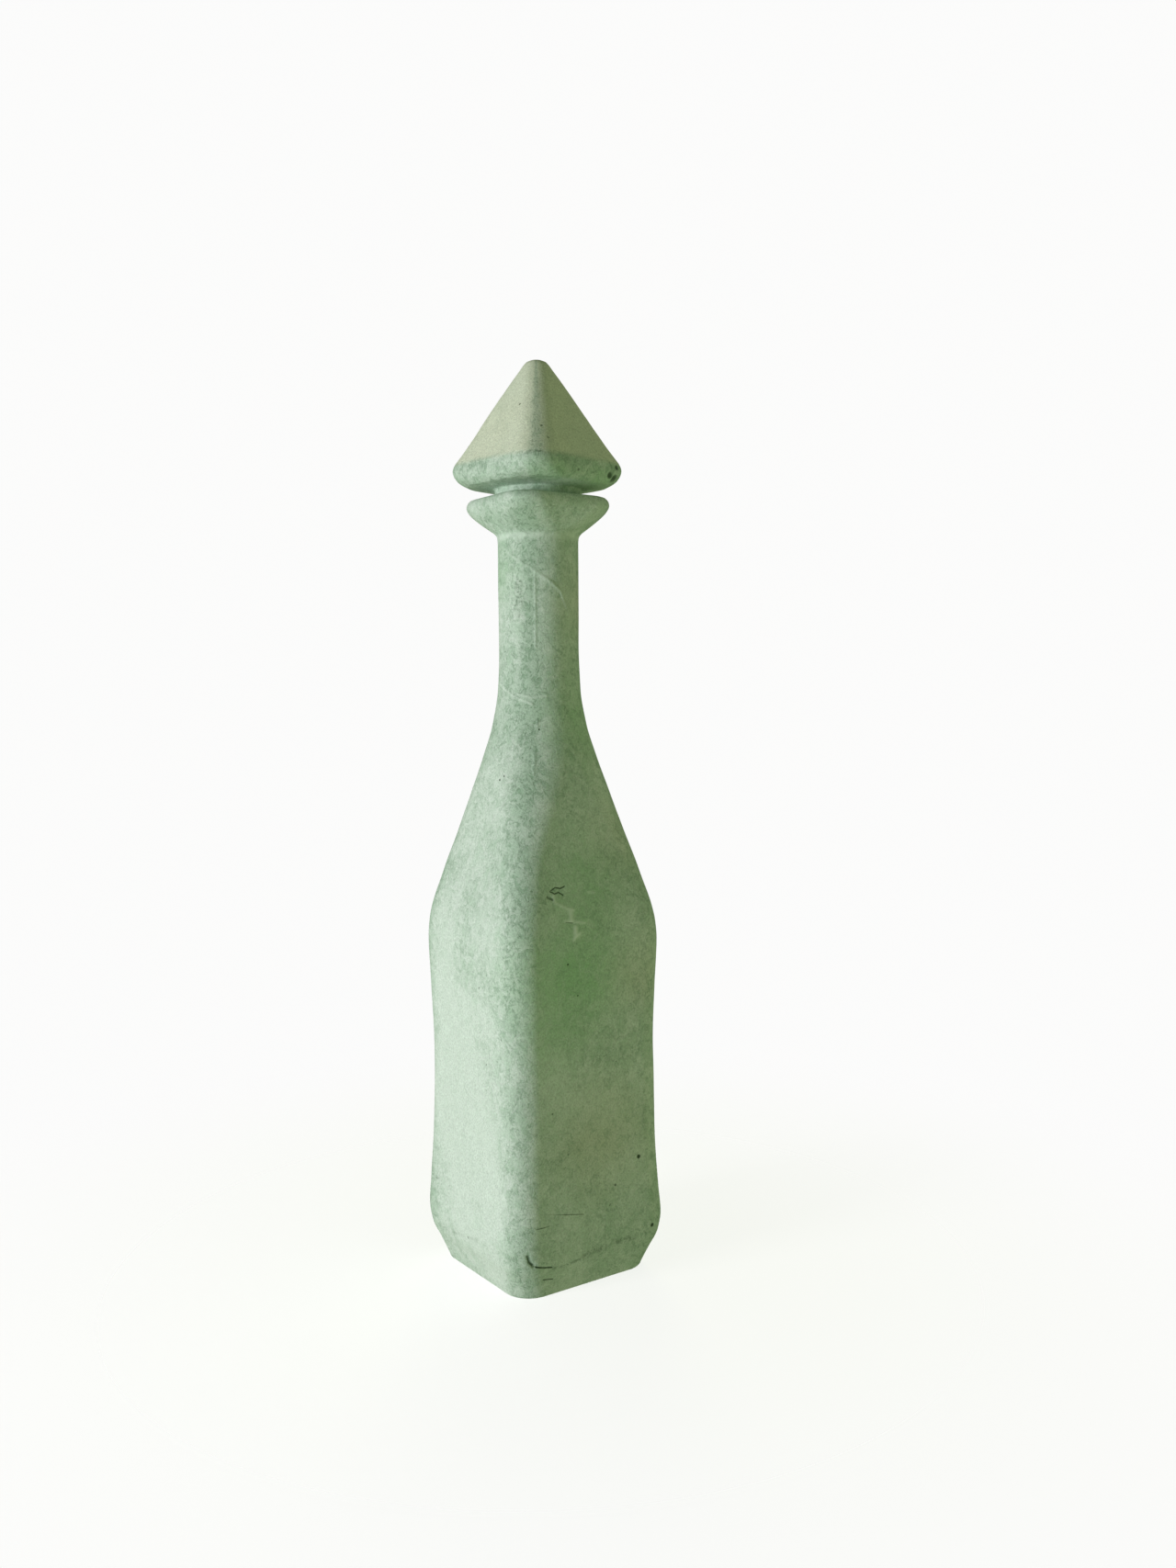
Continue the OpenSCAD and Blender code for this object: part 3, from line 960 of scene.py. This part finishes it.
def stopper_stem(m):
    """Levels from inside the head, down the hollow, round the peg's end and up to the ring."""
    seat = m.tip_height - m.head_height - m.ring_height
    base = seat + m.ring_height
    end = seat - m.peg_length
    half = m.head_width / 2
    channel = m.channel_width / 2
    peg = m.peg_width / 2
    bead = peg + 1
    ring = m.ring_width / 2
    sleeve_top = end + BEAD_HEIGHT + SEAT_GAP + SLEEVE_LENGTH + SEAT_GAP
    top = m.tip_height
    hollow = curve(
        [
            [top - 9, 0.6, 0.6],
            [top - 11, 3.7, 3.3],
            [base + 8, half - 6, 6],
            [base + 4.5, half * 0.55, 9.5],
            [base + 2.2, channel, channel],
        ],
        STOPPER_INNER_SPACING,
    )
    rounds = between([base + 1, channel], [end + 0.5, channel], 14)
    rounds += [[end, channel + 0.5]]
    rounds += between([end, channel + 1.2], [end, bead - 0.8], 3)
    rounds += [
        [end + 0.25, bead - 0.25],
        [end + 0.8, bead],
        [end + BEAD_HEIGHT - 0.5, bead],
        [end + BEAD_HEIGHT - 0.15, bead - 0.2],
        [end + BEAD_HEIGHT, bead - 0.5],
        [end + BEAD_HEIGHT, peg],
    ]
    rounds += between([end + BEAD_HEIGHT + 0.1, peg], [sleeve_top - 0.05, peg], 16)
    rounds += [[sleeve_top, peg], [sleeve_top, STOP_RADIUS]]
    rounds += between([sleeve_top + 0.1, STOP_RADIUS], [seat, STOP_RADIUS], 5)
    rounds += between([seat, STOP_RADIUS + 0.2], [seat, ring - 0.6], 5)
    rounds += [[seat + 0.18, ring - 0.18], [seat + 0.6, ring]]
    rounds += between([seat + 0.9, ring], [base - 0.7, ring], 6)
    return hollow + rounded(rounds)


def crease_height(bearing):
    """Height above the skirt's widest line of the step where a pyramid face begins, at a bearing in
    radians from the middle of a face: it climbs a little towards each ridge."""
    from_ridge = np.abs(bearing % (pi / 2) - pi / 4)
    return 0.8 + 1.2 * np.exp(-((from_ridge / 0.25) ** 2))


class SAKE_OT_stopper(bpy.types.Operator):
    """Builds the stopper: pyramid head, ring and peg in one piece of glass"""

    bl_idname = "sake.stopper"
    bl_label = "Stopper"

    def execute(self, context):
        m = Measures(context.scene.sake_stopper)
        skirt_height = m.tip_height - m.head_height * (1 - SKIRT_SHARE)
        levels = curve(stopper_outside(m), STOPPER_SPACING)
        outside = grid(faired(levels, 2), STOPPER_QUARTERS)
        skin = Skin(outside)
        lift, _ = uneven(skin, [], STOPPER_WAVES, STOPPER_FLAT_ENDS, seed=7)
        ragged = cloud(outside, STEP_REACH, 21) * STEP_STRAY
        above = outside[..., 2] - skirt_height - crease_height(skin.bearing) - ragged
        lift = lift + STEP_RISE / (1 + np.exp(-above / 0.35))
        lift = lift - STEP_GROOVE * np.exp(-((above / 0.7) ** 2))
        for width, depth, bearing, height in CHIPS:
            centre = skin.place(bearing - np.degrees(m.turn), height)
            apart = np.linalg.norm(outside - centre, axis=2)
            lift = lift - depth * np.exp(-((apart / width) ** 4))
        outside = outside + normals(outside) * lift[..., None]

        points = np.vstack([grid(stopper_stem(m), STOPPER_QUARTERS), outside])
        turn = np.array(Matrix.Rotation(m.turn, 3, "Z")).T
        stopper = make_mesh("glass_stopper", points @ turn)
        turned = Skin(grid(levels, STOPPER_QUARTERS) @ turn)
        pits = [(turned.place(b, z), width, shade) for width, shade, b, z in STOPPER_PITS]
        pits += [(turned.place(b, z), width * 1.1, CHIP_SHADE) for width, _, b, z in CHIPS]

        def crease(glass, place):
            """Height in millimetres above the step, negative in the skirt."""
            upward = glass.part(place, "Z")
            unsteady = glass.grain(place, 4.0, 3.0)
            return upward - (skirt_height + CREASE_RISE) - (unsteady - 0.5) * CREASE_STRAY

        looks = context.scene.sake_finishes
        name = "etched_glass_stopper"
        stopper.data.materials.append(
            etched_glass(name, looks, STOPPER_SKIN, m.turn, pits=pits, crease=crease)
        )
        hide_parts("stopper")
        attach(stopper, "stopper")
        return {"FINISHED"}


# ---------------- cork sleeve

SLEEVE_QUARTERS = (36, 36, 36, 36)
GROOVE_REACH = 1.6
GROOVE_DEPTH = 0.03
WELD_DISTANCE = 1e-6


class SAKE_OT_sleeve(bpy.types.Operator):
    """Builds the cork sleeve on the stopper's peg"""

    bl_idname = "sake.sleeve"
    bl_label = "Cork sleeve"

    def execute(self, context):
        m = Measures(context.scene.sake_sleeve)
        inner, outer = m.inner_width / 2, m.outer_width / 2
        low, high = m.bottom, m.top
        rounds = between([high - 0.3, inner], [low + 0.3, inner], 12)
        rounds += [[low, inner + 0.25], [low, outer - 0.8]]
        rounds += [[low + 0.3, outer - 0.55], [low + 1.4, outer]]
        rounds += between([low + 1.8, outer], [high - 1.1, outer], 34)
        rounds += [[high - 0.7, outer], [high - 0.15, outer - 0.45]]
        rounds += [[high, outer - 0.8], [high, inner + 0.25]]
        points = grid(rounded(rounds), SLEEVE_QUARTERS)
        grooves = np.clip(cloud(points, GROOVE_REACH, 31) - 0.25, 0, 1)
        facing = np.linalg.norm(points[..., :2], axis=2) > mix(inner, outer, 0.8)
        sunk = 1 - GROOVE_DEPTH * grooves * facing
        points = points * np.dstack([sunk, sunk, np.ones_like(sunk)])
        points = np.vstack([points, points[:1]])
        sleeve = make_mesh("cork_seal", points, low_cap=False, high_cap=False)
        join_ends(sleeve)
        sleeve.data.materials.append(cork_finish("natural_cork", context.scene.sake_finishes))
        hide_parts("cork_sleeve")
        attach(sleeve, "seal")
        return {"FINISHED"}


def join_ends(piece):
    """Welds the first and last rings of a skin that closes on itself."""
    work = bmesh.new()
    work.from_mesh(piece.data)
    bmesh.ops.remove_doubles(work, verts=work.verts, dist=WELD_DISTANCE)
    work.to_mesh(piece.data)
    work.free()


# ---------------- stage

# Each lamp's name, its place, the point it faces and the width of its disc, all in metres, and the
# settings that hold its power and its colour.
LAMPS = [
    ("key", (-0.97, 0.03, 0.15), (0, 0, 0.11), 0.32, "key_power", "key_colour"),
    ("fill", (0.42, -0.34, 0.10), (0, 0, 0.08), 0.34, "fill_power", "fill_colour"),
    ("back", (0.62, 0.95, 0.55), (0, 0, 0.16), 0.50, "back_power", "fill_colour"),
]
ROOM_COLOUR = (0.29, 0.35, 0.205)
ROOM_STRENGTH = 0.90
ROOM_DIMMED_ABOVE = 0.42
BACKDROP_COLOUR = (0.97, 0.97, 0.965)
FLOOR_REACH, FLOOR_QUARTERS = 1600, (24, 24, 24, 24)
BACKDROP_REACH, BACKDROP_QUARTERS = 6000, (12, 12, 12, 12)
FLOOR_FADE = (0.03, 0.34)
FLOOR_GLOW = 0.6
STAGE_RINGS = 24
SENSOR_WIDTH = 36


def area_light(name, place, target, width, power, tone):
    light = bpy.data.lights.new(name, "AREA")
    light.shape = "DISK"
    light.size = width
    light.energy = power
    light.color = tone
    aim = (Vector(target) - Vector(place)).to_track_quat("-Z", "Y").to_matrix().to_4x4()
    add_object(name, light).matrix_world = Matrix.Translation(place) @ aim


class SAKE_OT_stage(bpy.types.Operator):
    """Adds the floor, the backdrop, the lights and the camera"""

    bl_idname = "sake.stage"
    bl_label = "Stage"

    def execute(self, context):
        look = context.scene.sake_stage
        self.add_floor(look)
        self.add_backdrop()
        for name, place, target, width, power, tone in LAMPS:
            area_light(name, place, target, width, getattr(look, power), getattr(look, tone))
        self.add_sky(context)
        self.add_camera(context, look)
        return {"FINISHED"}

    def add_floor(self, look):
        """A round floor that fades into the backdrop away from the bottle, and lights nothing."""
        radii = np.linspace(FLOOR_REACH, 0, STAGE_RINGS + 1)[:-1]
        points = grid(rounded((0, radius) for radius in radii), FLOOR_QUARTERS)
        floor = make_mesh("floor", points, low_cap=False)
        finish = Finish("pale_floor")
        metres = finish.node("ShaderNodeTexCoord", outlet="Object")
        away = finish.vector("LENGTH", metres, outlet="Value")
        values = {"Base Color": look.floor, "Roughness": 0.9}
        values |= {"Emission Color": (1, 1, 1), "Emission Strength": FLOOR_GLOW}
        paint = finish.node("ShaderNodeBsdfPrincipled", {}, values)
        clear = finish.node("ShaderNodeBsdfTransparent")
        share = 0.55 + finish.ramp(away, *FLOOR_FADE) * 0.45
        finish.close(finish.node("ShaderNodeMixShader", {}, {0: share, 1: paint, 2: clear}))
        floor.data.materials.append(finish.owner)
        floor.visible_diffuse = floor.visible_glossy = False

    def add_backdrop(self):
        """A white ball round everything, which lights nothing."""
        tilts = np.linspace(pi, 0, STAGE_RINGS + 1)[1:-1]
        rings = [(BACKDROP_REACH * cos(tilt), BACKDROP_REACH * sin(tilt)) for tilt in tilts]
        backdrop = make_mesh("backdrop", grid(rounded(rings), BACKDROP_QUARTERS))
        finish = Finish("white_backdrop")
        values = {"Color": BACKDROP_COLOUR, "Strength": 1.0}
        finish.close(finish.node("ShaderNodeEmission", {}, values))
        backdrop.data.materials.append(finish.owner)
        backdrop.visible_diffuse = backdrop.visible_glossy = False
        backdrop.visible_transmission = backdrop.visible_shadow = False

    def add_sky(self, context):
        """Soft light from all round, weaker from above."""
        sky = Finish("soft_room", world=True)
        upward = sky.part(sky.node("ShaderNodeTexCoord", outlet="Generated"), "Z")
        strength = ROOM_STRENGTH - sky.ramp(upward, -0.3, 0.4) * ROOM_DIMMED_ABOVE
        values = {"Color": ROOM_COLOUR, "Strength": strength}
        sky.close(sky.node("ShaderNodeBackground", {}, values))
        context.scene.world = sky.owner

    def add_camera(self, context, look):
        lens = bpy.data.cameras.new("camera")
        lens.lens = look.lens
        lens.sensor_width = SENSOR_WIDTH
        lens.clip_start = 0.01
        lens.dof.use_dof = False
        right = Vector((cos(look.pan), sin(look.pan), 0))
        level = Vector((-sin(look.pan), cos(look.pan), 0))
        ahead = level * cos(look.pitch) - Vector((0, 0, sin(look.pitch)))
        upward = right.cross(ahead)
        lean = Matrix.Rotation(-look.roll, 3, ahead)
        turn = Matrix.Rotation(look.azimuth, 3, "Z")
        right, upward, ahead = (turn @ (lean @ v) for v in (right, upward, ahead))
        place = turn @ Vector((0, -look.distance, look.height))
        camera = add_object("camera", lens)
        axes = Matrix((right, upward, -ahead)).transposed().to_4x4()
        camera.matrix_world = Matrix.Translation(place) @ axes
        context.scene.camera = camera
        context.scene.view_settings.view_transform = "Standard"


# ---------------- panel and main


class SAKE_PT_panel(bpy.types.Panel):
    """Sizes and colours of the sake bottle, with a button for each piece."""

    bl_label = "Sake Bottle"
    bl_idname = "SAKE_PT_panel"
    bl_space_type = "VIEW_3D"
    bl_region_type = "UI"
    bl_category = "Sake Bottle"

    def draw(self, context):
        for name in GROUPS:
            box = self.layout.box()
            group = getattr(context.scene, name)
            for key in group.bl_rna.properties.keys():
                if key not in {"rna_type", "name"}:
                    box.prop(group, key)
            if name != "sake_finishes":
                box.operator(name.replace("_", "."))


GROUPS = {
    "sake_bottle": BottleSizes,
    "sake_stopper": StopperSizes,
    "sake_sleeve": SleeveSizes,
    "sake_finishes": Finishes,
    "sake_stage": StageLook,
}
OPERATORS = [SAKE_OT_bottle, SAKE_OT_stopper, SAKE_OT_sleeve, SAKE_OT_stage]
CLASSES = [*GROUPS.values(), *OPERATORS, SAKE_PT_panel]


def register():
    for kind in CLASSES:
        bpy.utils.register_class(kind)
    for name, kind in GROUPS.items():
        setattr(bpy.types.Scene, name, bpy.props.PointerProperty(type=kind))


def unregister():
    for name in GROUPS:
        delattr(bpy.types.Scene, name)
    for kind in reversed(CLASSES):
        bpy.utils.unregister_class(kind)


def main():
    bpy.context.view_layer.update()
    register()
    bpy.ops.sake.stage()
    bpy.ops.sake.bottle()
    bpy.ops.sake.stopper()
    bpy.ops.sake.sleeve()


if __name__ == "__main__":
    main()
